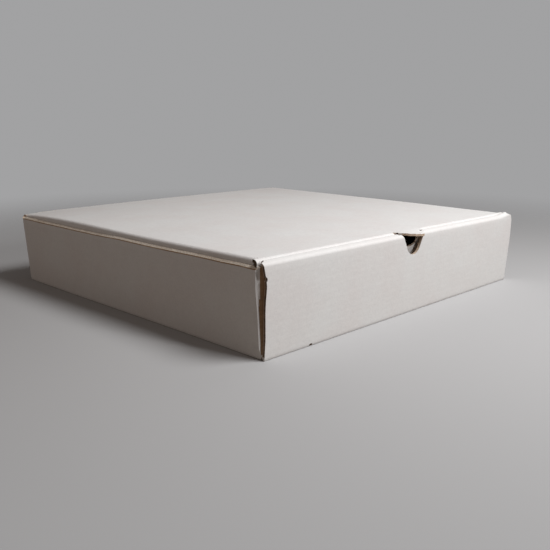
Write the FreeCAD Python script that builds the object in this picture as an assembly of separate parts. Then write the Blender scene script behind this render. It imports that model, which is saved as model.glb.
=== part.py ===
import FreeCAD, Part
import math
import os

# A folded pizza box of corrugated board: a tray with a rolled-over front wall, and a lid on
# a crease along the top of the rear wall. Millimetres, +Z up, front towards -Y, right +X.
# The origin is the middle of the base's underside.

# Outside sizes of the closed box
box_width = 229.0         # over the side walls
box_depth = 229.0         # over the front and rear walls
side_height = 41.0        # raw top edge of the side walls
front_height = 45.0       # top of the rolled-over front wall
lid_rise = 0.7            # closed lid above the front wall

# The board
board = 1.5               # thickness
crease_radius = 0.8       # inside radius of a fold
ply_gap = 0.15            # air between boards that lie together
run_gap = 0.3             # clearance between the lid and the tray

# Corner tabs, folded from the ends of the side walls
front_tab_length = 62.0
rear_tab_length = 48.0
tab_taper = 6.0           # the free end is this much lower than the root

# Lock tabs under the inner front panel, pushed through slots in the base
lock_width = 32.0
lock_spacing = 118.0
lock_inset = 0.2          # the tab's end stays this much above the base's underside

# Lid flaps, tucked inside the walls
side_flap_depth = 32.0
side_flap_taper = 14.0    # the flap's ends are cut back by this at its lower edge
flap_shoulder = 6.0       # square part of the flap's ends, below the fold
front_flap_depth = 30.0
front_flap_lean = 6.0     # degrees, lower edge inwards, so that it clears the front wall
front_flap_inset = 1.0    # each end of the front flap inside the side flaps

# Thumb tab, cut out of the lid's front flap and left in the lid's plane
thumb_half_width = 10.1
thumb_reach = 7.8
thumb_slope = 40.0        # degrees from straight forward

# Thumb notch through the front wall, wide enough for the thumb tab to lift out
notch_clearance = 0.4     # on each side of the thumb tab's root
notch_depth = 11.8
notch_slope = 27.0        # degrees from upright

# Sizes that follow from these
outer_bend = crease_radius + board
half_width = box_width / 2
half_depth = box_depth / 2
front_face = -half_depth
rear_face = half_depth
lid_top = front_height + lid_rise
wall_ply = board + ply_gap
front_tab_face = front_face + wall_ply
front_wall_inside = front_face + 2 * wall_ply + board
rear_tab_face = rear_face - wall_ply
rear_tab_inside = rear_tab_face - board
lid_half_width = half_width - board - run_gap
lid_front = front_wall_inside + run_gap
side_flap_end = rear_tab_inside - 2 * run_gap
notch_half_width = thumb_half_width + notch_clearance
hinge_y = rear_face - board / 2
hinge_z = lid_top - board / 2
fold_relief = outer_bend + 2 * ply_gap     # height where the corner tabs start
overlap = 1.0                              # how far neighbouring stretches share material


def in_yz(y, z):
    return FreeCAD.Vector(0, y, z)


def in_xz(x, z):
    return FreeCAD.Vector(x, 0, z)


def in_xy(x, y):
    return FreeCAD.Vector(x, y, 0)


def unit(start, end):
    length = math.hypot(end[0] - start[0], end[1] - start[1])
    return ((end[0] - start[0]) / length, (end[1] - start[1]) / length)


# One edge path of a bent board: straight runs joined by arcs about the inner side
def bent_path(points, inward, radius, to_space):
    edges = []
    here = points[0]
    for before, corner, after in zip(points, points[1:], points[2:]):
        way_in = unit(before, corner)
        way_out = unit(corner, after)
        side_in = (-way_in[1] * inward, way_in[0] * inward)
        side_out = (-way_out[1] * inward, way_out[0] * inward)
        share = 1 + side_in[0] * side_out[0] + side_in[1] * side_out[1]
        centre = [corner[i] + radius * (side_in[i] + side_out[i]) / share for i in range(2)]
        start = [centre[i] - radius * side_in[i] for i in range(2)]
        end = [centre[i] - radius * side_out[i] for i in range(2)]
        outward = unit(centre, corner)
        middle = [centre[i] + radius * outward[i] for i in range(2)]
        edges.append(Part.LineSegment(to_space(*here), to_space(*start)).toShape())
        edges.append(Part.Arc(to_space(*start), to_space(*middle), to_space(*end)).toShape())
        here = end
    edges.append(Part.LineSegment(to_space(*here), to_space(*points[-1])).toShape())
    return edges


# Corners of the board's inner face, from the corners of its outer face
def inner_corners(points, inward):
    ways = [unit(start, end) for start, end in zip(points, points[1:])]
    sides = [(-way[1] * inward, way[0] * inward) for way in ways]
    inner = [tuple(points[0][i] + board * sides[0][i] for i in range(2))]
    for corner, side_in, side_out in zip(points[1:], sides, sides[1:]):
        share = 1 + side_in[0] * side_out[0] + side_in[1] * side_out[1]
        step = board / share
        inner.append(tuple(corner[i] + step * (side_in[i] + side_out[i]) for i in range(2)))
    inner.append(tuple(points[-1][i] + board * sides[-1][i] for i in range(2)))
    return inner


# A bent board: its outer face follows the points, its thickness lies on the inward side
# (1 is left of the path, -1 right), and it is extruded between two distances along reach
def bent_board(points, inward, to_space, reach, start, end):
    inner = inner_corners(points, inward)
    outside = bent_path(points, inward, outer_bend, to_space)
    inside = bent_path(inner, inward, crease_radius, to_space)
    tip = Part.LineSegment(to_space(*points[-1]), to_space(*inner[-1])).toShape()
    root = Part.LineSegment(to_space(*inner[0]), to_space(*points[0])).toShape()
    wire = Part.Wire(Part.__sortEdges__(outside + [tip] + inside + [root]))
    solid = Part.Face(wire).extrude(reach * (end - start))
    solid.translate(reach * start)
    return solid


def block(x_low, x_high, y_low, y_high, z_low, z_high):
    corner = FreeCAD.Vector(x_low, y_low, z_low)
    return Part.makeBox(x_high - x_low, y_high - y_low, z_high - z_low, corner)


def flat_shape(points, to_space, reach, start, end):
    corners = [to_space(*point) for point in points]
    solid = Part.Face(Part.makePolygon(corners + corners[:1])).extrude(reach * (end - start))
    solid.translate(reach * start)
    return solid


# A U outline hanging from its mouth: sloping sides and a round bottom, as one closed face.
# The second coordinate of each point is the depth below the mouth; lip lies above it.
def thumb_outline(mouth_half, depth, slope, lip, to_space):
    angle = math.radians(slope)
    radius = (mouth_half * math.cos(angle) - depth * math.sin(angle)) / (1 - math.sin(angle))
    centre = depth - radius
    touch = (radius * math.cos(angle), centre + radius * math.sin(angle))
    left_lip = to_space(-mouth_half, -lip)
    right_lip = to_space(mouth_half, -lip)
    left_mouth = to_space(-mouth_half, 0)
    right_mouth = to_space(mouth_half, 0)
    left_touch = to_space(-touch[0], touch[1])
    right_touch = to_space(*touch)
    edges = [
        Part.LineSegment(right_lip, left_lip).toShape(),
        Part.LineSegment(left_lip, left_mouth).toShape(),
        Part.LineSegment(left_mouth, left_touch).toShape(),
        Part.Arc(left_touch, to_space(0, depth), right_touch).toShape(),
        Part.LineSegment(right_touch, right_mouth).toShape(),
        Part.LineSegment(right_mouth, right_lip).toShape(),
    ]
    return Part.Face(Part.Wire(Part.__sortEdges__(edges)))


x_way = FreeCAD.Vector(1, 0, 0)
y_way = FreeCAD.Vector(0, 1, 0)
z_way = FreeCAD.Vector(0, 0, 1)


# Base panel with the lower folds of both side walls
def make_floor():
    lip = fold_relief + overlap
    points = [(-half_width, lip), (-half_width, 0), (half_width, 0), (half_width, lip)]
    start = front_tab_face + outer_bend
    end = rear_tab_face - outer_bend
    return bent_board(points, 1, in_xz, y_way, start, end)


# Side wall with a corner tab folded inwards at each end; hand is -1 left, 1 right
def make_side(hand):
    face = hand * half_width
    front_end = hand * (half_width - front_tab_length)
    rear_end = hand * (half_width - rear_tab_length)
    points = [(front_end, front_tab_face), (face, front_tab_face)]
    points += [(face, rear_tab_face), (rear_end, rear_tab_face)]
    side = bent_board(points, hand, in_xy, z_way, fold_relief, side_height)
    root = face - hand * outer_bend
    for end in (front_end, rear_end):
        low = [(root, fold_relief), (end, fold_relief), (end, fold_relief + tab_taper)]
        high = [(root, side_height), (end, side_height), (end, side_height - tab_taper)]
        where = (front_face, 0) if end == front_end else (0, rear_face)
        for points in (low, high):
            side = side.cut(flat_shape(points, in_xz, y_way, *where))
    return side


# Front wall: outer panel, top strip and inner panel, folded from one length of board
def make_front():
    inner_edge = board + ply_gap
    root = front_tab_face + outer_bend + overlap
    points = [(root, 0), (front_face, 0), (front_face, front_height)]
    points += [(front_wall_inside, front_height), (front_wall_inside, inner_edge)]
    wall = bent_board(points, -1, in_yz, x_way, -half_width, half_width)
    panel_front = front_wall_inside - board
    panel_end = half_width - outer_bend - run_gap
    below = front_height - outer_bend
    for hand in (-1, 1):
        ends = sorted((hand * panel_end, hand * (half_width + overlap)))
        beyond = block(*ends, panel_front - ply_gap / 2, front_wall_inside + overlap, board, below)
        wall = wall.cut(beyond)
    return wall


# Lock tabs on the inner front panel's lower edge, and the slots they pass through
def lock_block(centre, slack, z_low, z_high):
    half = lock_width / 2 + slack
    y_low = front_wall_inside - board - slack
    return block(centre - half, centre + half, y_low, front_wall_inside + slack, z_low, z_high)


def make_tray():
    floor = make_floor()
    rear_root = rear_tab_face - outer_bend - overlap
    rear_top = lid_top - board - run_gap
    points = [(rear_root, 0), (rear_face, 0), (rear_face, rear_top)]
    rear = bent_board(points, 1, in_yz, x_way, -lid_half_width, lid_half_width)
    front = make_front()
    for centre in (-lock_spacing / 2, lock_spacing / 2):
        slot = lock_block(centre, ply_gap, -overlap, board + ply_gap / 2)
        tab = lock_block(centre, 0, lock_inset, board + ply_gap + overlap)
        floor = floor.cut(slot)
        front = front.cut(slot).fuse(tab)
    tray = floor.fuse([rear, front, make_side(-1), make_side(1)])
    outline = thumb_outline(notch_half_width, notch_depth, notch_slope, overlap,
                            lambda x, depth: in_xz(x, front_height - depth))
    outline.translate(y_way * (front_face - overlap))
    notch = outline.extrude(y_way * (front_wall_inside - front_face + 2 * overlap))
    return tray.cut(notch).removeSplitter()


# Lid panel with its side flaps folded down
def make_lid_sides():
    low = lid_top - side_flap_depth
    points = [(-lid_half_width, low), (-lid_half_width, lid_top)]
    points += [(lid_half_width, lid_top), (lid_half_width, low)]
    start = lid_front + outer_bend
    end = side_flap_end
    sides = bent_board(points, -1, in_xz, y_way, start, end)
    shoulder = lid_top - flap_shoulder
    front_cut = [(start, shoulder), (start, low), (start + side_flap_taper, low)]
    rear_cut = [(end, shoulder), (end, low), (end - side_flap_taper, low)]
    for points in (front_cut, rear_cut):
        sides = sides.cut(flat_shape(points, in_yz, x_way, -half_width, half_width))
    return sides


# Lid panel and front flap, with a round rear edge about the hinge line
def make_lid_length():
    angle = math.radians(front_flap_lean)
    low_y = lid_front + front_flap_depth * math.sin(angle)
    low_z = lid_top - front_flap_depth * math.cos(angle)
    points = [(low_y, low_z), (lid_front, lid_top), (hinge_y, lid_top)]
    flap_half = lid_half_width - outer_bend - front_flap_inset
    length = bent_board(points, -1, in_yz, x_way, -flap_half, flap_half)
    rear_start = side_flap_end - overlap
    lid_under = lid_top - board
    rear = block(-lid_half_width, lid_half_width, rear_start, hinge_y, lid_under, lid_top)
    left_end = FreeCAD.Vector(-lid_half_width, hinge_y, hinge_z)
    round_edge = Part.makeCylinder(board / 2, 2 * lid_half_width, left_end, x_way)
    return length.fuse([rear, round_edge])


def make_lid():
    lid = make_lid_sides().fuse(make_lid_length())
    hole = thumb_outline(thumb_half_width, thumb_reach, thumb_slope, overlap,
                         lambda x, depth: in_xz(x, lid_top - depth))
    hole.translate(y_way * (lid_front - overlap))
    lid = lid.cut(hole.extrude(y_way * (outer_bend + 1.5 * overlap)))
    thumb = thumb_outline(thumb_half_width, thumb_reach, thumb_slope, outer_bend + overlap,
                          lambda x, depth: in_xy(x, lid_front - depth))
    thumb.translate(z_way * (lid_top - board))
    return lid.fuse(thumb.extrude(z_way * board)).removeSplitter()


tray = make_tray()
lid = make_lid()

os.makedirs("parts", exist_ok=True)
for name, shape in (("tray", tray), ("lid", lid)):
    print(name, len(shape.Solids), "solid", shape.isValid(), round(shape.Volume, 1), "mm3")
    shape.exportStep("parts/" + name + ".step")
print("overlap", round(tray.common(lid).Volume, 4), "mm3")
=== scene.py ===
import math
import bmesh
import bpy
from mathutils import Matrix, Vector


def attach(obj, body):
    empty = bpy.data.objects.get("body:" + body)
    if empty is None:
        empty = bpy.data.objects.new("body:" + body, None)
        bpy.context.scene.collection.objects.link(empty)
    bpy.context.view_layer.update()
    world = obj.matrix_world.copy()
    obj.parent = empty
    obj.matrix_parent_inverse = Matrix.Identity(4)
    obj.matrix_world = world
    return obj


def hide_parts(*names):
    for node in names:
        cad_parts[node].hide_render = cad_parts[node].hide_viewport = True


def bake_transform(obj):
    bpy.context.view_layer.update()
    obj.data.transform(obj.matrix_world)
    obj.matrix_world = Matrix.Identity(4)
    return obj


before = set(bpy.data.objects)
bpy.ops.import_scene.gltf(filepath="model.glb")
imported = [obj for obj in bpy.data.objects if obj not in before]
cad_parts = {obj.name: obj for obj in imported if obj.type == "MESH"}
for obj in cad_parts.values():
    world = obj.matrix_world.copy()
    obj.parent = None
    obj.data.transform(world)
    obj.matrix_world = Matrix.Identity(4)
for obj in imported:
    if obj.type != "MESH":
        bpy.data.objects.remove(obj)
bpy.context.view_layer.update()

# A folded pizza box of white-lined corrugated board, in metres: front towards -Y, right +X.
# Each sheet is drawn by its outer face, folded up along its creases, and then thickened.

board = {
    "thickness": 0.0015,
    "liner": 0.00022,        # paper on each side of the flutes
    "channel": 0.0018,       # how deep the open flutes are modelled
    "shortfall": 0.0003,     # their paper is narrower than the channel by this
    "pitch": 0.0033,         # one flute to the next
    "waveSteps": 8,          # facets along one flute
    "flutePaper": 0.00018,
    "foldSteps": 6,          # facets round a right angle
    "bead": (0.0003, 0.0008),   # half width and height of the ridge on a corner crease
    "smooth": 35,            # degrees, facets that meet at less are shaded as one bend
}
same, tiny, close, hair = 0.000002, 0.00001, 0.00002, 0.0001   # slack in tests by place


# helpers: selecting by place, folding, pulling

def selectOnly(piece):
    bpy.ops.object.select_all(action="DESELECT")
    piece.select_set(True)
    bpy.context.view_layer.objects.active = piece


def named(name):
    # the newest object
    bpy.context.object.name = name
    return bpy.context.object


def startEdit(piece):
    if bpy.context.mode != "OBJECT":
        bpy.ops.object.mode_set(mode="OBJECT")
    selectOnly(piece)
    bpy.ops.object.mode_set(mode="EDIT")


def endEdit():
    bpy.ops.object.mode_set(mode="OBJECT")


def selectAll():
    bpy.ops.mesh.select_all(action="SELECT")


def editMesh():
    # what it holds is lost unless the mesh itself is kept in a variable
    return bmesh.from_edit_mesh(bpy.context.object.data)


def pick(kind, test):
    # kind is VERT, EDGE or FACE; test gets the item's centre and the item
    bpy.ops.mesh.select_mode(type=kind)
    bpy.ops.mesh.select_all(action="DESELECT")
    mesh = editMesh()
    items = {"VERT": mesh.verts, "EDGE": mesh.edges, "FACE": mesh.faces}[kind]
    count = 0
    for item in items:
        if kind == "VERT":
            centre = item.co
        elif kind == "EDGE":
            centre = (item.verts[0].co + item.verts[1].co) / 2
        else:
            centre = item.calc_center_median()
        if test(centre, item):
            item.select_set(True)
            count += 1
    mesh.select_flush_mode()
    bmesh.update_edit_mesh(bpy.context.object.data)
    return count


def near(value, place, slack=0.00005):
    return abs(value - place) < slack


def rim(edge):
    return len(edge.link_faces) == 1


def fold(centre, axis, degrees, steps=board["foldSteps"]):
    # spin counts its angle the other way round
    bpy.ops.mesh.spin(steps=steps, angle=-math.radians(degrees), center=centre, axis=axis)


def pull(x, y, z, steps=1):
    for step in range(steps):
        move = (x / steps, y / steps, z / steps)
        bpy.ops.mesh.extrude_region_move(TRANSFORM_OT_translate={"value": move})


def nudge(test, move, reach=0.0):
    if pick("VERT", test) == 0:
        print("nothing to nudge at", move)
        return
    if reach:
        bpy.ops.transform.translate(value=move, use_proportional_edit=True,
                                    proportional_edit_falloff="SMOOTH",
                                    proportional_size=reach, use_proportional_connected=True)
    else:
        bpy.ops.transform.translate(value=move)


def everything(place, item=None):
    return True


def cutAlong(test, place, way):
    pick("FACE", test)
    bpy.ops.mesh.bisect(plane_co=place, plane_no=way)


def startSheet(name, low, high, height, columns, rows):
    bpy.ops.mesh.primitive_grid_add(x_subdivisions=columns, y_subdivisions=rows, size=1)
    piece = named(name)
    startEdit(piece)
    selectAll()
    middle = ((low[0] + high[0]) / 2, (low[1] + high[1]) / 2, height)
    bpy.ops.transform.resize(value=(high[0] - low[0], high[1] - low[1], 1))
    bpy.ops.transform.translate(value=middle)
    return piece


def faceOutwards(upwards):
    # an open sheet has no inside of its own, so its face nearest the middle decides
    selectAll()
    bpy.ops.mesh.normals_make_consistent(inside=False)
    mesh = editMesh()
    sample = min(mesh.faces, key=lambda face: face.calc_center_median().xy.length)
    if (sample.normal.z > 0) != upwards:
        bpy.ops.mesh.flip_normals()


def applyLast(piece):
    bpy.ops.object.modifier_apply(modifier=piece.modifiers[-1].name)


def applyPlace():
    bpy.ops.object.transform_apply(location=True, rotation=True, scale=True)


def thicken(piece):
    endEdit()
    bpy.ops.object.modifier_add(type="SOLIDIFY")
    wall = piece.modifiers[-1]
    wall.thickness = board["thickness"]
    wall.offset = -1
    wall.use_even_offset = True
    wall.material_offset = innerSlot
    wall.material_offset_rim = rawSlot
    applyLast(piece)


def carve(piece, cutter, operation="DIFFERENCE"):
    selectOnly(piece)
    bpy.ops.object.modifier_add(type="BOOLEAN")
    cut = piece.modifiers[-1]
    cut.operation = operation
    cut.object = cutter
    cut.solver = "EXACT"
    cut.material_mode = "TRANSFER"
    applyLast(piece)
    bpy.data.objects.remove(cutter)


def startThumb(name, mouth, mouthHalf, depth, slope, lip):
    # a U hanging from its mouth: sloping sides and a round end, as one flat face
    angle = math.radians(slope)
    radius = (mouthHalf * math.cos(angle) - depth * math.sin(angle)) / (1 - math.sin(angle))
    mouth = Vector(mouth)
    centre = mouth - Vector((0, 0, depth - radius))
    bpy.ops.mesh.primitive_circle_add(vertices=64, radius=radius, location=centre,
                                      rotation=(math.pi / 2, 0, 0))
    piece = named(name)
    applyPlace()
    startEdit(piece)
    touch = radius * math.sin(angle)
    pick("VERT", lambda c, v: centre.z - c.z < touch - close)
    bpy.ops.mesh.delete(type="VERT")
    for hand in (-1, 1):
        mesh = editMesh()
        side = max(hand * vert.co.x for vert in mesh.verts)
        pick("VERT", lambda c, v: near(hand * c.x, side, close))
        start = next(vert.co.copy() for vert in mesh.verts if vert.select)
        corner = mouth + Vector((hand * mouthHalf, 0, 0))
        pull(*(corner - start))
        pull(0, 0, lip)
    selectAll()
    bpy.ops.mesh.edge_face_add()
    return piece


def startDisc(name, centre, radius, upright):
    turn = (math.pi / 2, 0, 0) if upright else (0, 0, 0)
    bpy.ops.mesh.primitive_circle_add(vertices=96, radius=radius, fill_type="NGON",
                                      location=centre, rotation=turn)
    piece = named(name)
    applyPlace()
    startEdit(piece)
    selectAll()
    return piece


def trim(place, way):
    # cuts away all that lies beyond the plane
    selectAll()
    bpy.ops.mesh.bisect(plane_co=place, plane_no=way, clear_outer=True)
    selectAll()


def addBlock(name, low, high):
    middle = [(start + end) / 2 for start, end in zip(low, high)]
    bpy.ops.mesh.primitive_cube_add(size=1, location=middle)
    piece = named(name)
    piece.scale = [end - start for start, end in zip(low, high)]
    applyPlace()
    giveFinishes(piece, (cutEdge,))
    return piece


def closeUp(piece, finishes):
    # ends the edit of a closed shell
    selectAll()
    bpy.ops.mesh.remove_doubles(threshold=same)
    bpy.ops.mesh.normals_make_consistent(inside=False)
    endEdit()
    giveFinishes(piece, finishes)


# finishes

def newMaterial(name):
    material = bpy.data.materials.new(name)
    material.use_nodes = True
    return material


finish = {
    # the paper, its blotches, roughness, depth of its mottle and of its fibres, relief
    "white": ((0.815, 0.811, 0.803), (0.80, 0.776, 0.765), 0.68, 0.028, 0.02, 0.00003),
    "kraft": ((0.42, 0.275, 0.165), (0.375, 0.24, 0.142), 0.82, 0.10, 0.14, 0.00004),
    "cut": ((0.66, 0.53, 0.42), (0.44, 0.33, 0.24), 0.9, 0.16, 0.22, 0.00012),
    # painted light: a lighter copy of the raw edge colour, for the side walls' raw tops where they
    # face up towards the lamps
    "paintedLitTop": ((0.92, 0.85, 0.75), (0.80, 0.71, 0.60), 0.9, 0.12, 0.16, 0.00012),
    # a dark brown of painted shade, for the walls of the nicks and the raw ends of the lid's ears
    "nick": ((0.16, 0.115, 0.085), (0.10, 0.07, 0.05), 0.9, 0.2, 0.2, 0.0001),
    "roughSpread": 0.06,
    "sheen": 0.2,
    "grain": 950,            # per metre: the fine mottle of the paper
    "coarse": 3.2,           # a second mottle is this much larger
    "blotch": 38,
    "fibre": (260, 1500),    # along and across the paper's run
    "washboard": 0.000009,   # how deep the flutes show through
    "waver": (0.35, 0.4),    # how far their bands stray, and how finely
    "frontBands": 0.1121,    # half width of the walls with bands up them
}


def feed(tree, node, inputs):
    # numbers and colours are set, and what comes out of another node is linked
    for name, value in inputs.items():
        socket = node.inputs[name]
        if isinstance(value, tuple):
            socket.default_value = (*value, 1) if socket.type == "RGBA" else value
        elif isinstance(value, (int, float)):
            socket.default_value = value
        else:
            tree.links.new(value, socket)


def addNode(tree, kind, inputs=None, **values):
    node = tree.nodes.new(kind)
    for name, value in values.items():
        setattr(node, name, value)
    feed(tree, node, inputs or {})
    return node


def addNoise(tree, vector, scale, detail, rough=0.55):
    inputs = {"Vector": vector, "Scale": scale, "Detail": detail, "Roughness": rough}
    return addNode(tree, "ShaderNodeTexNoise", inputs).outputs["Fac"]


def remap(tree, value, low, high, newLow, newHigh):
    inputs = {"Value": value, "From Min": low, "From Max": high, "To Min": newLow,
              "To Max": newHigh}
    return addNode(tree, "ShaderNodeMapRange", inputs).outputs["Result"]


def combine(tree, operation, first, second):
    inputs = {0: first, 1: second}
    return addNode(tree, "ShaderNodeMath", inputs, operation=operation).outputs[0]


def blendColours(tree, share, first, second, how="MIX"):
    # this node takes its colours at 6 and 7 and gives one at 2
    return addNode(tree, "ShaderNodeMix", {0: share, 6: first, 7: second}, data_type="RGBA",
                   blend_type=how).outputs[2]


def mixShaders(tree, share, first, second):
    inputs = {0: share, 1: first, 2: second}
    return addNode(tree, "ShaderNodeMixShader", inputs).outputs[0]


def addFlutes(tree, vector):
    # the flutes run along X: they show as bands along Y, and up the front and rear walls along Z
    bands = []
    for direction in ("Y", "Z"):
        # this texture has 20 bands to a turn
        inputs = {"Vector": vector, "Scale": 2 * math.pi / 20 / board["pitch"], "Detail": 1,
                  "Distortion": finish["waver"][0], "Detail Scale": finish["waver"][1]}
        bands.append(addNode(tree, "ShaderNodeTexWave", inputs, wave_type="BANDS",
                             bands_direction=direction).outputs["Fac"])
    parts = addNode(tree, "ShaderNodeSeparateXYZ", {0: vector})
    across = combine(tree, "ABSOLUTE", parts.outputs["X"], 0)
    offSides = combine(tree, "LESS_THAN", across, finish["frontBands"])
    return combine(tree, "ADD", bands[0], combine(tree, "MULTIPLY", bands[1], offSides))


def addBump(tree, height, distance):
    return addNode(tree, "ShaderNodeBump", {"Strength": 1, "Distance": distance, "Height": height})


def paperFinish(name, look, fluted=False):
    paper, blotch, rough, mottle, fibre, bump = look
    material = newMaterial(name)
    tree = material.node_tree
    place = addNode(tree, "ShaderNodeTexCoord").outputs["Object"]
    stretch = addNode(tree, "ShaderNodeMapping",
                      {"Vector": place, "Scale": (finish["fibre"][0] / finish["fibre"][1], 1, 1)})
    grain = addNoise(tree, place, finish["grain"], 3)
    coarse = addNoise(tree, place, finish["grain"] / finish["coarse"], 2)
    blotches = addNoise(tree, place, finish["blotch"], 3)
    fibres = addNoise(tree, stretch.outputs[0], finish["fibre"][1], 4, 0.7)

    tint = blendColours(tree, remap(tree, blotches, 0.35, 0.65, 0, 1), paper, blotch)
    shade = combine(tree, "ADD", remap(tree, grain, 0.3, 0.7, 1 - mottle, 1 + mottle),
                    remap(tree, coarse, 0.3, 0.7, -mottle / 2, mottle / 2))
    shade = combine(tree, "ADD", shade, remap(tree, fibres, 0.3, 0.75, -fibre, fibre))
    grey = addNode(tree, "ShaderNodeCombineColor", {0: shade, 1: shade, 2: shade})
    colour = blendColours(tree, 1.0, tint, grey.outputs[0], "MULTIPLY")
    low, high = rough - finish["roughSpread"], rough + finish["roughSpread"]
    relief = addBump(tree, combine(tree, "ADD", grain, coarse), bump)
    if fluted:
        ridges = addBump(tree, addFlutes(tree, place), finish["washboard"])
        feed(tree, relief, {"Normal": ridges.outputs[0]})
    feed(tree, tree.nodes["Principled BSDF"], {
        "Base Color": colour,
        "Roughness": remap(tree, grain, 0.3, 0.7, low, high),
        "Specular IOR Level": finish["sheen"],
        "Normal": relief.outputs[0],
    })
    return material


whiteLiner = paperFinish("whiteLiner", finish["white"], True)
kraftLiner = paperFinish("kraftLiner", finish["kraft"], True)
cutEdge = paperFinish("cutEdge", finish["cut"])
paintedLitRawTop = paperFinish("paintedLitRawTop", finish["paintedLitTop"])
paintedShade = paperFinish("paintedShade", finish["nick"])
sheetFinishes = (whiteLiner, kraftLiner, cutEdge)
outerSlot, innerSlot, rawSlot = range(3)


def giveFinishes(piece, finishes=sheetFinishes):
    piece.data.materials.clear()
    for material in finishes:
        piece.data.materials.append(material)


def paint(piece, slot):
    # gives the chosen faces one of the piece's finishes
    piece.active_material_index = slot
    bpy.ops.object.material_slot_assign()


def spread(piece, material, test):
    # gives the faces that pass a finish, also one that the piece doesn't have yet
    if piece.data.materials.find(material.name) < 0:
        piece.data.materials.append(material)
    startEdit(piece)
    if pick("FACE", test) == 0:
        print("no face of", piece.name, "takes", material.name)
    paint(piece, piece.data.materials.find(material.name))
    endEdit()


lid = {
    "half": 0.1127,
    "top": 0.0457,
    "front": 0.1094,
    "frontFold": 0.002,
    "sideFold": 0.0022,
    "seam": 0.1102,          # the rear crease takes over from here
    "cornerDrop": (0.0007, 0.02),   # the rear left corner hangs by, and so far round it
    "frontFlap": 0.030,
    "frontHalf": 0.1094,     # half width of the front flap
    "lean": 6,               # degrees, lower edge inwards
    # the front flap is pressed forwards behind the notch: how far, between which X and Z,
    # reach, and where the flap is divided for it
    "bulge": 0.0018,
    "pressed": (0.001, 0.009, 0.034, 0.039),
    "pressReach": 0.008,
    "flapColumns": (-0.0060, -0.0025, 0.0015, 0.0045, 0.0080, 0.0115, 0.0155),
    "flapRows": (0.0425, 0.0385, 0.0345, 0.0310),
    "earHalf": 0.1140,       # the front fold is wider than the lid
    "earDrop": 0.0013,       # how far the ears run down past the fold
    "slit": 0.1057,          # cut between the ear and the side flap
    "slitWidth": 0.0008,
    "sideFlap": 0.032,
    "flapShoulder": 0.006,
    "flapTaper": 0.014,
    "flapSteps": 6,
    "flapRowGap": 0.0005,    # at each end of its row of open flutes
    "grid": 18,
    "frontRows": 8,
}

# how the folded box stands out of true, the same for every piece

sag = {
    "size": (0.26, 0.26, 0.06),
    "low": 0.006,            # the cage starts this far below the floor
    "points": (7, 7, 4),
    "rear": (-0.10, 0.115),  # the rear share grows from and to these in Y
    "side": (0.0, 0.112),    # and each side's share in X
    "rearLeft": (0.0030, 0.0030),   # outwards at the floor, and added to that at the top
    "rearRight": 0.0022,
    "bow": (0.0016, -0.02, 0.07),   # the left edge rises, from and to
    "drop": (0.0032, 0.06, 0.13),   # and falls again to the rear
    "frontRise": (0.0009, 0.04, 0.13),   # the front left corner stands higher
    "flat": 0.014,           # nothing below this height rises or sinks
    # the right edge is lower, by the second value more at the front
    "frontSink": (0.0003, 0.0008, 0.03, 0.115),
}


def eased(value, start, end):
    share = min(1, max(0, (value - start) / (end - start)))
    return share * share * (3 - 2 * share)


def loosen(piece):
    # the rear left corner spreads outwards, more so at the top, and the left edge bows
    bpy.ops.object.select_all(action="DESELECT")
    bpy.ops.object.add(type="LATTICE", location=(0, 0, sag["size"][2] / 2 - sag["low"]))
    cage = bpy.context.object
    cage.scale = sag["size"]
    cage.data.points_u, cage.data.points_v, cage.data.points_w = sag["points"]
    bpy.context.view_layer.update()
    for point in cage.data.points:
        place = cage.matrix_world @ point.co
        high = place.z / lid["top"]
        rear = eased(place.y, *sag["rear"])
        left = eased(-place.x, *sag["side"])
        right = eased(place.x, *sag["side"])
        out = left * (sag["rearLeft"][0] + high * sag["rearLeft"][1])
        bow, drop = [size * eased(place.y, start, end)
                     for size, start, end in (sag["bow"], sag["drop"])]
        size, start, end = sag["frontRise"]
        bow += size * eased(-place.y, start, end)
        always, more, start, end = sag["frontSink"]
        sink = always + more * eased(-place.y, start, end)
        lift = max(0, (place.z - sag["flat"]) / (lid["top"] - sag["flat"]))
        shift = Vector((rear * (right * high * sag["rearRight"] - out), 0,
                        lift * (left * (bow - drop) - right * sink)))
        point.co_deform = cage.matrix_world.inverted() @ (place + shift)
    selectOnly(piece)
    bpy.ops.object.modifier_add(type="LATTICE")
    piece.modifiers[-1].object = cage
    applyLast(piece)
    bpy.data.objects.remove(cage)
    bpy.ops.object.shade_smooth_by_angle(angle=math.radians(board["smooth"]))


# the tray: floor, walls, corner tabs and rolled-over front, one folded sheet

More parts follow.
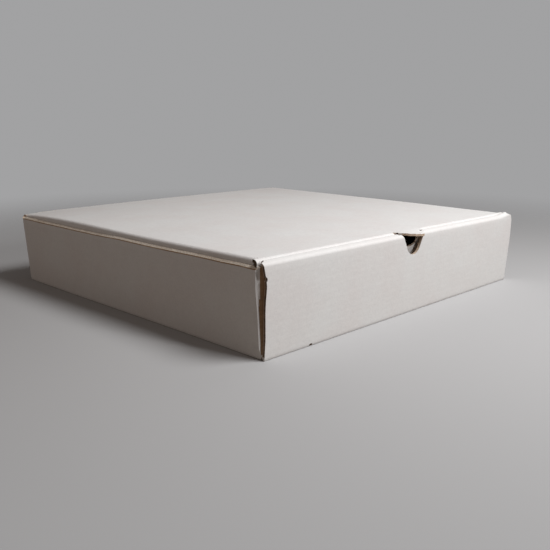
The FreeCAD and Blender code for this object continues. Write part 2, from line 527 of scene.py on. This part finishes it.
tray = {
    "half": 0.1145,          # outer faces of the walls
    "fold": 0.00155,         # outside radius of the bottom creases
    "corner": 0.0023,        # outside radius of the upright corner creases
    "tabFace": 0.11285,      # outer faces of the corner tabs
    "sideTop": 0.041,
    "lowRow": 0.0011,        # first row of faces above the side walls' bottom crease
    "frontTop": 0.045,
    "lipFold": 0.0020,       # outer crease of the front wall's top strip
    "backFold": 0.0016,      # its inner crease
    "stripTilt": 18,         # degrees, the strip rises to the back
    "innerFace": 0.1097,
    "innerEnd": 0.1119,      # half width of the inner front panel
    "innerLow": 0.00165,
    "seam": 0.0414,          # the rear wall ends here, and the rear crease takes over
    "rearHalf": 0.1127,
    "frontTab": 0.062,
    "rearTab": 0.048,
    "tabTaper": 0.006,
    # faces: the floor's grid each way, round a bottom crease, and up or along each panel
    "grid": 18,
    "bendSteps": 4,
    "tabRows": 4,
    "sideRows": 12,
    "frontRows": 14,
    "innerRows": 10,
    "rearRows": 10,
    # corner bend radius up the front left corner, and how far each end of the front
    # panel stands in from the box's side, by height
    "leftBend": ((0.001, 0.0006), (0.0024, 0.0008), (0.0051, 0.00105), (0.0128, 0.00155),
                 (0.0217, 0.00205), (0.0278, 0.00265), (0.0304, 0.0032), (0.045, 0.0033)),
    "leftEnd": ((0.0015, 0.0001), (0.0098, 0.0008), (0.0235, 0.0008), (0.0277, 0.0011),
                (0.0351, 0.0020), (0.0396, 0.0010), (0.045, -0.0002)),
    "rightEnd": ((0.0, 0.0033), (0.0052, 0.0031), (0.0161, 0.0013), (0.0282, -0.0002),
                 (0.0377, -0.0007), (0.0425, -0.0003), (0.0436, 0.0008), (0.0444, 0.0024),
                 (0.0448, 0.0042), (0.045, 0.0055)),
    # how far the raw top edge of each side wall is off its height, from front to rear
    "leftTop": ((-0.1106, 0.0015), (-0.10, 0.0018), (-0.083, 0.0016), (-0.07, 0.0019),
                (-0.054, 0.0018), (-0.028, 0.0017), (0.0, 0.0019), (0.02, 0.0012),
                (0.048, 0.0011), (0.066, 0.0014), (0.085, 0.0017), (0.10, 0.0024),
                (0.1106, 0.0026)),
    "rightTop": ((-0.1106, 0.0014), (-0.04, 0.0010), (0.03, 0.0014), (0.1106, 0.0010)),
    "cornerReach": 0.006,    # the tabs follow that height so far from the corner
    "wear": 0.0012,          # how far the outer paper is rubbed down from the raw top
    "paintedShadeLine": 0.00028,    # and how wide the line of painted shade below it is, in kraft brown
    "flatCorner": 0.9,       # how straight the bends of the front corners run, 0 is round
    "bendLow": 0.0024,       # they start at this height,
    "ridge": (0.0050, 0.044),   # and the ridge along their crease runs between these
    # the front wall's right end: from X and Y, how far it moves, and reach
    "rightRise": (0.105, -0.109, (0, 0, 0.0022), 0.012),
    "rightTuck": (0.1105, -0.109, (-0.0008, 0, -0.0009), 0.004),
    "tuckAbove": 0.001,      # above the strip
    # a bite out of the front panel's left raw end, and a dent in the bottom crease, their walls
    # given painted shade
    "bites": (((-0.1131, -0.1143, 0.0375), (0.0008, 0.0016, 0.0011)),
              ((-0.0834, -0.1146, 0.0006), (0.0012, 0.0007, 0.0007))),
}


def fromTable(table, place):
    # straight lines between the table's points
    for (start, low), (end, high) in zip(table, table[1:]):
        if place <= end:
            share = max(0, (place - start) / (end - start))
            return low + (high - low) * share
    return table[-1][1]


def rowHeights(test):
    mesh = editMesh()
    return sorted({round(vert.co.z, 6) for vert in mesh.verts if test(vert.co)})


def nudgeRows(test, moveAt):
    # each row of vertices moves by what its height asks for
    for height in rowHeights(test):
        nudge(lambda c, v: test(c) and near(c.z, height, same), moveAt(height))


def foldCornerTabs(hand, end):
    half, bend, low = tray["half"], tray["corner"], tray["fold"]
    length = tray["frontTab"] if end < 0 else tray["rearTab"]
    start = tray["tabFace"] - bend
    pick("EDGE", lambda c, e: near(c.x, hand * half, hair) and near(c.y, end * start)
         and c.z > low - hair and rim(e))
    fold((hand * (half - bend), end * start, 0), (0, 0, hand * end), 90)
    high = tray["sideTop"] - low
    steps = tray["tabRows"]
    for step in range(steps):
        pull(-hand * (length - bend) / steps, 0, 0)
        before = high - 2 * tray["tabTaper"] * step / steps
        after = high - 2 * tray["tabTaper"] * (step + 1) / steps
        bpy.ops.transform.resize(value=(1, 1, after / before),
                                 center_override=(0, 0, low + high / 2))


def foldTray():
    half, bend, face = tray["half"], tray["fold"], tray["tabFace"]
    flat = half - bend
    sideEnd = face - tray["corner"]
    around, grid = tray["bendSteps"], tray["grid"]
    piece = startSheet("tray_board", (-flat, -sideEnd), (flat, sideEnd), 0, grid, grid)

    # left and right walls
    for hand in (-1, 1):
        pick("EDGE", lambda c, e: near(c.x, hand * flat) and rim(e))
        fold((hand * flat, 0, bend), (0, -hand, 0), 90, around)
        pull(0, 0, tray["lowRow"])
        pull(0, 0, tray["sideTop"] - bend - tray["lowRow"], tray["sideRows"])
        for end in (-1, 1):
            foldCornerTabs(hand, end)

    # the raw top edges aren't level
    mesh = editMesh()
    top = [vert for vert in mesh.verts if near(vert.co.z, tray["sideTop"])
           and near(abs(vert.co.x), half)]
    for hand, table in ((-1, tray["leftTop"]), (1, tray["rightTop"])):
        for place in sorted({round(vert.co.y, 5) for vert in top}):
            nudge(lambda c, v: near(c.z, tray["sideTop"], 3 * hair) and near(c.x, hand * half)
                  and near(c.y, place, close), (0, 0, fromTable(table, place)))

        for end in (-1, 1):
            rise = fromTable(table, end * sideEnd)
            nudge(lambda c, v: near(c.z, tray["sideTop"], 2 * hair) and end * c.y > sideEnd + hair
                  and hand * c.x > half - tray["cornerReach"], (0, 0, rise))

    # the corner creases are wider at the top than at the bottom
    for hand in (-1, 1):
        atCorner = lambda c: (hand * c.x > half - tray["corner"] - 3 * hair
                              and c.y < -sideEnd + hair and c.z > hair)
        for height in rowHeights(atCorner):
            pick("VERT", lambda c, v: atCorner(c) and near(c.z, height, same))
            size = fromTable(tray["leftBend"], height) / tray["corner"]
            bpy.ops.transform.resize(value=(size, size, 1),
                                     center_override=(hand * half, -face, height))

    # front wall: outer panel, top strip, inner panel
    pick("EDGE", lambda c, e: near(c.y, -sideEnd) and near(c.z, 0) and rim(e) and abs(c.x) < flat)
    pull(0, sideEnd - flat, 0)
    fold((0, -flat, bend), (-1, 0, 0), 90, around)
    lip, back, inner = tray["lipFold"], tray["backFold"], tray["innerFace"]
    tilt = math.radians(tray["stripTilt"])
    pull(0, 0, tray["frontTop"] - lip - bend, tray["frontRows"])
    fold((0, -half + lip, tray["frontTop"] - lip), (-1, 0, 0), 90 - tray["stripTilt"])
    stripStart = -half + lip - lip * math.sin(tilt)
    stripEnd = -inner - back - back * math.sin(tilt)
    stripRise = (stripEnd - stripStart) * math.tan(tilt)
    stripTop = tray["frontTop"] - lip + lip * math.cos(tilt) + stripRise
    pull(0, stripEnd - stripStart, stripRise)
    outer = lambda c: c.y < -flat - hair and (c.y < -half + lip + tiny or c.z < bend)
    for height in rowHeights(outer):
        for hand, table in ((-1, tray["leftEnd"]), (1, tray["rightEnd"])):
            away = half - fromTable(table, height) - flat
            nudge(lambda c, v: c.y < -flat - hair and near(hand * c.x, flat)
                  and near(c.z, height, same), (hand * away, 0, 0))
    onStrip = lambda c: near(c.z, stripTop) and near(c.y, stripEnd)
    for hand in (-1, 1):
        nudge(lambda c, v: near(hand * c.x, flat) and onStrip(c),
              (hand * (tray["innerEnd"] - flat), 0, 0))
    pick("EDGE", lambda c, e: onStrip(c) and rim(e))
    pivot = stripTop - back * math.cos(tilt)
    fold((0, -inner - back, pivot), (-1, 0, 0), 90 + tray["stripTilt"])
    pull(0, 0, -(pivot - tray["innerLow"]), tray["innerRows"])

    for key, low in (("rightRise", tray["frontTop"] - lip * 0.3),
                     ("rightTuck", stripTop + tray["tuckAbove"])):
        side, front, move, reach = tray[key]
        nudge(lambda c, v: c.x > side and c.y < front and c.z > low, move, reach)

    # rear wall
    pick("EDGE", lambda c, e: near(c.y, sideEnd) and near(c.z, 0) and rim(e) and abs(c.x) < flat)
    pull(0, flat - sideEnd, 0)
    for hand in (-1, 1):
        nudge(lambda c, v: near(c.x, hand * flat) and near(c.y, flat),
              (hand * (tray["rearHalf"] - flat), 0, 0))
    pick("EDGE", lambda c, e: near(c.y, flat) and near(c.z, 0) and rim(e))
    fold((0, flat, bend), (1, 0, 0), 90, around)
    pull(0, 0, tray["seam"] - bend, tray["rearRows"])
    faceOutwards(False)
    return piece


def sharpen(piece):
    # the bottom creases are crisp on the outside: their middle facets go outwards
    startEdit(piece)
    bend = tray["fold"]
    flat = tray["half"] - bend
    for degrees, share in ((22.5, 0.06), (45, 0.22), (67.5, 0.06)):
        angle = math.radians(degrees)
        out, down = bend * math.sin(angle), bend * math.cos(angle)
        for hand in (-1, 1):
            for axis in (0, 1):
                move = Vector((0, 0, -down * share))
                move[axis] = hand * out * share
                nudge(lambda c, v: near(c[axis], hand * (flat + out), tiny)
                      and near(c.z, bend - down, tiny), move)
    endEdit()


def raiseCreases(piece):
    # the upright front corners aren't round: a thin ridge, then straight across to the tab
    startEdit(piece)
    half, face, bead = tray["half"], tray["tabFace"], board["bead"]
    steps = board["foldSteps"]
    for hand in (-1, 1):
        def offsets(place):
            radius = fromTable(tray["leftBend"], place.z)
            return (half - hand * place.x) / radius, (place.y + face) / radius

        for step in range(1, steps):
            angle = math.pi / 2 * step / steps
            across, back = 1 - math.cos(angle), 1 - math.sin(angle)
            onStep = lambda c: (hand * c.x > 0.11 and c.y < -0.1 and c.z > tray["bendLow"]
                                and near(offsets(c)[0], across, 0.01)
                                and near(offsets(c)[1], back, 0.01))
            share = step / steps
            move = Vector((-hand * (share - across), 1 - share - back, 0)) * tray["flatCorner"]
            nudgeRows(onStep, lambda height: move * fromTable(tray["leftBend"], height))

        crease = lambda place: -face + fromTable(tray["leftBend"], place.z)
        onCrease = lambda v: (near(hand * v.co.x, half, 1.5 * close)
                              and tray["ridge"][0] < v.co.z < tray["ridge"][1]
                              and near(v.co.y, crease(v.co), 3 * close))
        if pick("EDGE", lambda c, e: onCrease(e.verts[0]) and onCrease(e.verts[1])) == 0:
            print("no crease to raise on side", hand)
        bpy.ops.mesh.bevel(offset=bead[0], offset_type="OFFSET", segments=2, affect="EDGES")
        mesh = editMesh()
        chosen = [vert for vert in mesh.verts if vert.select]
        nudge(lambda c, v: v in chosen and near(c.y, crease(c), bead[0] / 2),
              (hand * bead[1], 0, 0))
    endEdit()


notch = {
    "centre": 0.0009,
    "half": 0.0101,
    "depth": 0.0118,
    "slope": 27,
    "inner": 0.1126,         # from here inwards it is larger
    "innerHalf": 0.0118,
    "innerDepth": 0.0150,
    "innerSlope": 12,
    "spare": 0.002,          # how far the cutter starts outside the board
    "through": 0.008,
}


def cutNotch(piece):
    # right through the front wall, and wider through its inner half
    for half, depth, slope, start in (
            (notch["half"], notch["depth"], notch["slope"], -tray["half"] - notch["spare"]),
            (notch["innerHalf"], notch["innerDepth"], notch["innerSlope"], -notch["inner"])):
        mouth = (notch["centre"], start, tray["frontTop"])
        cutter = startThumb("notchCutter", mouth, half, depth, slope, notch["spare"])
        pull(0, notch["through"], 0)
        closeUp(cutter, (cutEdge,))
        carve(piece, cutter)


def wearRawTops(piece):
    # the outer paper of the side walls is rubbed down at the top, so the raw edge shows, with a
    # line of painted shade in kraft brown below it
    startEdit(piece)
    sideEnd = tray["tabFace"] - tray["corner"]
    for hand in (-1, 1):
        onTop = lambda c: (near(hand * c.x, tray["half"], close) and abs(c.y) < sideEnd + hair
                           and c.z > tray["sideTop"] - tray["wear"])
        nudge(lambda c, v: onTop(c), (0, 0, -tray["wear"]))
        if pick("EDGE", lambda c, e: onTop(e.verts[0].co) and onTop(e.verts[1].co)) == 0:
            print("no raw top on side", hand)
        bpy.ops.mesh.bevel(offset=tray["paintedShadeLine"], offset_type="OFFSET", segments=1,
                           affect="EDGES")
        # painted shade: the thin bevelled line under the raw top takes the kraft colour
        paint(piece, innerSlot)
    endEdit()


def openFlutes(piece, test, move):
    # a raw edge where the flutes end: paper on both sides and a hollow between
    startEdit(piece)
    if pick("FACE", test) == 0:
        print("no raw edge to open on", piece.name)
    bpy.ops.mesh.inset(thickness=board["liner"], depth=0, use_even_offset=True)
    pull(*move)
    endEdit()


def addRibbon(length, turn, place):
    # one wave, arrayed along the edge and given the paper's thickness
    deep = board["channel"] - board["shortfall"]
    pitch, steps = board["pitch"], board["waveSteps"]
    bpy.ops.mesh.primitive_grid_add(x_subdivisions=1, y_subdivisions=steps, size=1)
    wave = bpy.context.object
    wave.scale = (deep, pitch, 1)
    applyPlace()
    startEdit(wave)
    tall = board["thickness"] / 2 - board["liner"] - hair
    for step in range(steps + 1):
        along = -pitch / 2 + pitch * step / steps
        rise = tall * math.sin(2 * math.pi * step / steps)
        pick("VERT", lambda c, v: near(c.y, along))
        bpy.ops.transform.translate(value=(deep / 2, 0, rise))
    endEdit()
    bpy.ops.object.modifier_add(type="ARRAY")
    row = wave.modifiers[-1]
    row.relative_offset_displace = (0, 1, 0)
    row.count = int(length / pitch)
    row.use_merge_vertices = True
    row.merge_threshold = tiny
    applyLast(wave)
    bpy.ops.object.modifier_add(type="SOLIDIFY")
    wave.modifiers[-1].thickness = board["flutePaper"]
    wave.modifiers[-1].offset = 0
    applyLast(wave)
    wave.rotation_euler = turn
    wave.location = place
    applyPlace()
    giveFinishes(wave, (cutEdge,))
    return wave


def joinRibbons(name, ribbons):
    selectOnly(ribbons[0])
    for ribbon in ribbons:
        ribbon.select_set(True)
    bpy.ops.object.join()
    piece = named(name)
    startEdit(piece)
    selectAll()
    bpy.ops.mesh.normals_make_consistent(inside=False)
    endEdit()
    return piece


# the open flutes in the raw ends of the front and rear walls

rawEnds = {
    # which end in Y, the faces to open beyond X and below Z, length of the row
    "front": (-1, 0.105, 0.0435, 0.0425),
    "rear": (1, 0.11, 0.0414, 0.0385),
    "low": 0.0016,           # they open above this
    "rowLow": 0.0018,        # and the row starts here
    "setBack": 0.0004,
}


def openTray(piece):
    half, deep, pitch = tray["half"], board["channel"], board["pitch"]
    thickness = board["thickness"]
    ribbons = []
    for hand in (-1, 1):
        for end, side, high, length in (rawEnds["front"], rawEnds["rear"]):
            openFlutes(piece, lambda c, f: f.material_index == rawSlot and hand * c.x > side
                       and end * c.y > half - thickness - tiny and rawEnds["low"] < c.z < high
                       and hand * f.normal.x > 0.6, (-hand * deep, 0, 0))
            wall = half if end < 0 else tray["rearHalf"]
            row = addRibbon(length, (math.pi / 2, 0, 0 if hand < 0 else math.pi),
                            (hand * (wall - rawEnds["setBack"]), end * (half - thickness / 2),
                             rawEnds["rowLow"] + pitch / 2))
            ribbons.append(row)
            if end < 0:
                # the front row follows the panel's end
                table = tray["leftEnd"] if hand < 0 else tray["rightEnd"]
                startEdit(row)
                nudgeRows(everything, lambda height: (-hand * fromTable(table, height), 0, 0))
                endEdit()
    return joinRibbons("tray_flutes", ribbons)


def nick(piece, size):
    # the newest object, brought to its size, bites into the piece, and the walls of the bite get a
    # dark brown of painted shade
    bite = named("bite")
    bite.scale = size
    applyPlace()
    giveFinishes(bite, (paintedShade,))
    carve(piece, bite)


def nickTray(piece):
    for place, size in tray["bites"]:
        bpy.ops.mesh.primitive_uv_sphere_add(segments=16, ring_count=8, radius=1, location=place)
        nick(piece, size)


lock = {
    "half": 0.016,
    "place": 0.059,
    "low": 0.0002,
    "gap": 0.0002,           # round the tab in its slot
    "overlap": 0.0005,       # of the tab with its panel
}


def cutLocks(piece):
    # two tabs on the inner front panel stand in slots of the floor
    front, back = -tray["innerFace"], -tray["innerFace"] + board["thickness"]
    for hand in (-1, 1):
        middle, gap = hand * lock["place"], lock["gap"]
        slot = addBlock("lockSlot", (middle - lock["half"] - gap, front - gap, -0.001),
                        (middle + lock["half"] + gap, back + gap, tray["innerLow"] - hair))
        carve(piece, slot)
        tab = addBlock("lockTab", (middle - lock["half"], front, lock["low"]),
                       (middle + lock["half"], back, tray["innerLow"] + lock["overlap"]))
        carve(piece, tab, "UNION")


# where the tray's faces get another finish than their sheet's: limits of the distance from
# the middle in X, then of Y and Z

patch = {
    "lowEnd": ((0.108, 1), (-1, -0.1125), (-1, 0.0018)),    # front panel's raw ends, papered
    "highEnd": ((0.108, 1), (-1, -0.1100), (0.0440, 1)),
    "paintedShadeCorner": ((0.1112, 0.11435), (-0.1130, -0.1107), (0.0024, 0.0445)),   # painted shade in kraft brown inside the corner, where the front panel shades the tab
    "rawTop": ((0.1128, 1), (-0.1106, 0.1106), (0.0395, 1)),             # of the side walls, painted lighter where they face up
}


def inPatch(name, c):
    return all(low < value < high for value, (low, high) in zip((abs(c.x), c.y, c.z), patch[name]))


trayBoard = foldTray()
giveFinishes(trayBoard)
thicken(trayBoard)
sharpen(trayBoard)
cutNotch(trayBoard)
cutLocks(trayBoard)
wearRawTops(trayBoard)
trayFlutes = openTray(trayBoard)
nickTray(trayBoard)
raiseCreases(trayBoard)
for end in ("lowEnd", "highEnd"):
    spread(trayBoard, whiteLiner, lambda c, f: f.material_index == rawSlot and inPatch(end, c))
# painted shade: the white faces of the tabs deep in each front corner take the kraft colour
spread(trayBoard, kraftLiner, lambda c, f: f.material_index == outerSlot and inPatch("paintedShadeCorner", c)
       and f.normal.y < -0.4)
# painted light: the up-facing raw tops of the side walls get the lighter raw edge colour
spread(trayBoard, paintedLitRawTop, lambda c, f: f.material_index == rawSlot and inPatch("rawTop", c)
       and f.normal.z > 0.4)
for piece in (trayBoard, trayFlutes):
    loosen(piece)
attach(trayBoard, "tray")
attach(trayFlutes, "tray")
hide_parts("tray")
print("tray board", len(trayBoard.data.polygons))


# the lid: panel, tucked side flaps and front flap

def hangCorner():
    # the rear left corner of the lid's panel hangs a little
    drop, reach = lid["cornerDrop"]
    sideEdge = lid["half"] - lid["sideFold"]
    nudge(lambda c, v: c.x < -sideEdge + hair and c.y > lid["seam"] - hair
          and c.z > lid["top"] - lid["sideFold"] - 3 * hair, (0, 0, -drop), reach)


def foldLid():
    top, bend, side = lid["top"], lid["frontFold"], lid["sideFold"]
    frontEdge = -lid["front"] + bend
    sideEdge = lid["half"] - side
    grid = lid["grid"]
    piece = startSheet("lid_board", (-sideEdge, frontEdge), (sideEdge, lid["seam"]), top,
                       grid, grid)
    for hand in (-1, 1):
        cutAlong(everything, (hand * lid["frontHalf"], 0, 0), (1, 0, 0))
    earEnd = -lid["slit"] - lid["slitWidth"]
    for place in (-lid["slit"], earEnd):
        cutAlong(everything, (0, place, 0), (0, 1, 0))
    for hand in (-1, 1):
        pick("EDGE", lambda c, e: near(c.x, hand * sideEdge) and rim(e) and c.y > -lid["slit"])
        fold((hand * sideEdge, 0, top - side), (0, hand, 0), 90)
        pull(0, 0, side - lid["flapShoulder"])
        steps, taper = lid["flapSteps"], lid["flapTaper"] / lid["flapSteps"]
        drop = (lid["sideFlap"] - lid["flapShoulder"]) / steps
        for step in range(steps):
            pull(0, 0, -drop)
            low = top - lid["flapShoulder"] - drop * (step + 1)
            for end, edge in ((-1, -lid["slit"]), (1, lid["seam"])):
                nudge(lambda c, v: near(c.x, hand * lid["half"]) and near(c.z, low)
                      and near(c.y, edge - end * taper * step), (0, -end * taper, 0))
            pick("EDGE", lambda c, e: near(c.x, hand * lid["half"]) and rim(e) and near(c.z, low))
        pick("EDGE", lambda c, e: near(c.x, hand * sideEdge) and rim(e) and c.y < earEnd)
        pull(hand * (lid["earHalf"] - sideEdge), 0, 0)
    pick("EDGE", lambda c, e: near(c.y, frontEdge) and near(c.z, top) and rim(e))
    fold((0, frontEdge, top - bend), (1, 0, 0), 90 + lid["lean"])
    lean = math.radians(lid["lean"])
    pull(0, lid["earDrop"] * math.sin(lean), -lid["earDrop"] * math.cos(lean))
    low = top - bend - bend * math.sin(lean) - lid["earDrop"] * math.cos(lean)
    pick("EDGE", lambda c, e: near(c.z, low) and rim(e) and abs(c.x) < lid["frontHalf"]
         and c.y < frontEdge)
    length = lid["frontFlap"] - bend - lid["earDrop"]
    pull(0, length * math.sin(lean), -length * math.cos(lean), lid["frontRows"])
    onFlap = lambda c, f: c.y < -0.1 and c.z < top - bend and abs(c.x) < lid["frontHalf"]
    for across in lid["flapColumns"]:
        cutAlong(onFlap, (across, 0, 0), (1, 0, 0))
    for height in lid["flapRows"]:
        cutAlong(onFlap, (0, 0, height), (0, 0, 1))
    left, right, low, high = lid["pressed"]
    nudge(lambda c, v: left < c.x < right and low < c.z < high and c.y < -0.1,
          (0, -lid["bulge"], 0), lid["pressReach"])
    hangCorner()
    faceOutwards(True)
    return piece


thumb = {
    "centre": 0.0029,
    "radius": 0.0117,        # the cut is an arc
    "reach": 0.0083,         # from the lid's front edge to the tip
    "droop": 0.0016,         # its right side hangs this much lower than its left
    "rows": 6,
    "thickness": 0.0012,     # pressed thinner by the die
    "overlap": 0.0002,       # with the lid at its root
    "paperEnd": -0.0072,     # left of this its edge is papered over
    "nicks": ((-0.0080, -0.1094, 0.0007, 0.0006), (0.0111, -0.1117, 0.0008, 0.0007)),
    "nickTall": 0.0083,
    "hole": (0.0021, 0.0133, 0.0086),   # centre, radius and depth in the front flap
}


def cutThumb(piece):
    # the same arc is a hole in the front flap and a tab left standing in the lid's plane
    top, front = lid["top"], -lid["front"]
    root = front + lid["frontFold"]
    radius, reach, rows = thumb["radius"], thumb["reach"], thumb["rows"]
    centre, wide, deep = thumb["hole"]
    reachOut = 2 * lid["bulge"]
    cutter = startDisc("thumbHole", (centre, front - reachOut, top + wide - deep), wide, True)
    trim((0, 0, top + 0.001), (0, 0, 1))
    pull(0, root - front + reachOut, 0)
    closeUp(cutter, (cutEdge,))
    carve(piece, cutter)
    tab = startDisc("thumbTab", (thumb["centre"], front - reach + radius, top), radius, False)
    trim((0, root + thumb["overlap"], 0), (0, 1, 0))
    pull(0, 0, -thumb["thickness"])
    low, width = thumb["centre"] - radius, 2 * radius
    for step in range(1, rows):
        cutAlong(everything, (0, front - reach * step / rows, 0), (0, 1, 0))
        cutAlong(everything, (low + width * step / rows, 0, 0), (1, 0, 0))
    closeUp(tab, sheetFinishes)
    startEdit(tab)
    pick("FACE", lambda c, f: f.normal.z < -0.9)
    paint(tab, innerSlot)
    pick("FACE", lambda c, f: abs(f.normal.z) < 0.5 and c.x > thumb["paperEnd"])
    paint(tab, rawSlot)
    for row in range(rows):
        start = front - reach * row / rows
        for column in range(1, rows):
            across = low + width * column / rows
            nudge(lambda c, v: c.y < start - hair and c.x > across - hair,
                  (0, 0, -thumb["droop"] / rows / (rows - 1)))
    endEdit()
    carve(piece, tab, "UNION")
    # the nicks are cut through the tab, and their walls are painted shade
    for x, y, wide, deep in thumb["nicks"]:
        bpy.ops.mesh.primitive_cylinder_add(vertices=14, radius=1, depth=1, location=(x, y, top))
        nick(piece, (wide, deep, thumb["nickTall"]))


def openLid(piece):
    half, thickness, deep = lid["half"], board["thickness"], board["channel"]
    low, middle = lid["top"] - lid["sideFlap"], (lid["seam"] - lid["slit"]) / 2
    length = lid["seam"] + lid["slit"] - 2 * (lid["flapTaper"] + lid["flapRowGap"])
    ribbons = []
    for hand in (-1, 1):
        openFlutes(piece, lambda c, f: f.material_index == rawSlot
                   and hand * c.x > half - thickness and c.z < low + hair
                   and f.normal.z < -0.9, (0, 0, deep))
        ribbons.append(addRibbon(length, (0, -math.pi / 2, 0),
                                 (hand * (half - thickness / 2),
                                  middle - (length - board["pitch"]) / 2,
                                  low + board["shortfall"])))
    return joinRibbons("lid_flutes", ribbons)


lidBoard = foldLid()
giveFinishes(lidBoard)
thicken(lidBoard)
cutThumb(lidBoard)
lidFlutes = openLid(lidBoard)
# painted shade: the raw ends of the ears are given the dark brown
spread(lidBoard, paintedShade, lambda c, f: f.material_index == rawSlot
       and abs(c.x) > lid["earHalf"] - hair)
spread(lidBoard, whiteLiner, lambda c, f: f.material_index == rawSlot
       and abs(c.x) > lid["half"] - lid["sideFold"] - hair and near(c.y, -lid["slit"], 3 * hair))
for piece in (lidBoard, lidFlutes):
    loosen(piece)
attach(lidBoard, "lid")
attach(lidFlutes, "lid")
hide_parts("lid")
print("lid board", len(lidBoard.data.polygons))


# the rear crease, where the lid turns on the rear wall

crease = {
    "radius": 0.0018,
    "wall": 0.1145,
    "taper": (0.0004, 0.0002),   # its ends stand in and hang lower where it meets the lid
    "steps": 8,              # facets round it
    "rows": 2,               # faces to each side of it
}


def foldCrease():
    radius, top = crease["radius"], lid["top"]
    turn = crease["wall"] - radius
    piece = startSheet("rear_crease", (-lid["half"], lid["seam"]), (lid["half"], turn), top,
                       lid["grid"], crease["rows"])
    pick("EDGE", lambda c, e: near(c.y, turn) and rim(e))
    fold((0, turn, top - radius), (-1, 0, 0), 90, crease["steps"])
    pull(0, 0, tray["seam"] - top + radius, crease["rows"])
    hangCorner()
    faceOutwards(True)
    return piece


def taperEnds(piece):
    startEdit(piece)
    inwards, down = crease["taper"]
    full = lid["top"] - board["thickness"] - tray["seam"]
    for hand in (-1, 1):
        move = Vector((-hand * inwards, 0, -down))
        nudgeRows(lambda c: near(hand * c.x, lid["half"]),
                  lambda height: move * min(1, (height - tray["seam"]) / full))
    endEdit()


rearCrease = foldCrease()
giveFinishes(rearCrease)
thicken(rearCrease)
spread(rearCrease, whiteLiner, lambda c, f: abs(c.x) > lid["half"] - tiny)
taperEnds(rearCrease)
loosen(rearCrease)
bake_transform(rearCrease)
print("rear crease", len(rearCrease.data.polygons))


# floor, lamps and camera

stage = {
    "floor": (0.50, 0.50, 0.505),     # as the camera sees it
    "bounce": (0.16, 0.145, 0.13),    # as the box is lit by it
    "fadeStart": 0.14,
    "fadeEnd": 0.62,
}


def addStage():
    bpy.ops.mesh.primitive_plane_add(size=6)
    floor = named("floor")
    material = newMaterial("floorPaper")
    tree = material.node_tree
    shader = tree.nodes["Principled BSDF"]
    seen = addNode(tree, "ShaderNodeLightPath").outputs["Is Camera Ray"]
    feed(tree, shader, {"Base Color": blendColours(tree, seen, stage["bounce"], stage["floor"]),
                        "Roughness": 1, "Specular IOR Level": 0})

    # far from the box the paper fades into the backdrop
    place = addNode(tree, "ShaderNodeTexCoord").outputs["Object"]
    length = addNode(tree, "ShaderNodeVectorMath", {0: place}, operation="LENGTH")
    inputs = {"Value": length.outputs["Value"], "From Min": stage["fadeStart"],
              "From Max": stage["fadeEnd"]}
    fade = addNode(tree, "ShaderNodeMapRange", inputs, interpolation_type="SMOOTHSTEP")
    clear = addNode(tree, "ShaderNodeBsdfTransparent").outputs[0]
    faded = mixShaders(tree, fade.outputs["Result"], shader.outputs[0], clear)
    feed(tree, tree.nodes["Material Output"], {"Surface": faded})
    floor.data.materials.append(material)


def addLamp(name, place, target, size, power, colour):
    data = bpy.data.lights.new(name, "AREA")
    data.shape = "DISK"
    data.size = size
    data.energy = power
    data.color = colour
    lamp = bpy.data.objects.new(name, data)
    bpy.context.scene.collection.objects.link(lamp)
    lamp.location = place
    lamp.rotation_euler = (Vector(target) - Vector(place)).to_track_quat("-Z", "Y").to_euler()


light = {
    # place, target, size, power, colour
    "key": ((0.10, -0.33, 0.475), (0, 0, 0.03), 0.26, 2.48, (1, 0.995, 0.995)),
    "front": ((0.14, -1.05, 0.42), (0, 0, 0.03), 0.15, 2.85, (1, 0.99, 0.99)),
    "fill": ((-1.5, 0.25, 0.18), (0, 0, 0.03), 0.8, 1.4, (1, 0.84, 0.74)),
    "world": (0.105, 0.090, 0.081),
    "backdrop": (0.36, 0.36, 0.365),   # what the camera sees of the world
}


def addLight():
    for name in ("key", "front", "fill"):
        addLamp(name + "Lamp", *light[name])
    world = bpy.data.worlds.new("studio")
    bpy.context.scene.world = world
    world.use_nodes = True
    tree = world.node_tree
    tree.nodes.clear()
    glows = [addNode(tree, "ShaderNodeBackground", {"Color": light[name]}).outputs[0]
             for name in ("world", "backdrop")]
    seen = addNode(tree, "ShaderNodeLightPath").outputs["Is Camera Ray"]
    addNode(tree, "ShaderNodeOutputWorld", {"Surface": mixShaders(tree, seen, *glows)})


view = {
    "place": (-0.31616, -0.32512, 0.10922),
    "turn": 0.78004,         # radians from straight ahead, towards +X
    "down": 0.23165,
    "lens": 44.592,
    "sensor": 36,
}


def addCamera():
    data = bpy.data.cameras.new("camera")
    data.lens = view["lens"]
    data.sensor_width = view["sensor"]
    data.clip_start = 0.01
    camera = bpy.data.objects.new("camera", data)
    bpy.context.scene.collection.objects.link(camera)
    camera.location = view["place"]
    ahead = Vector((math.sin(view["turn"]) * math.cos(view["down"]),
                    math.cos(view["turn"]) * math.cos(view["down"]), -math.sin(view["down"])))
    camera.rotation_euler = ahead.to_track_quat("-Z", "Y").to_euler()
    bpy.context.scene.camera = camera


addStage()
addLight()
addCamera()
bpy.context.scene.view_settings.view_transform = "Standard"
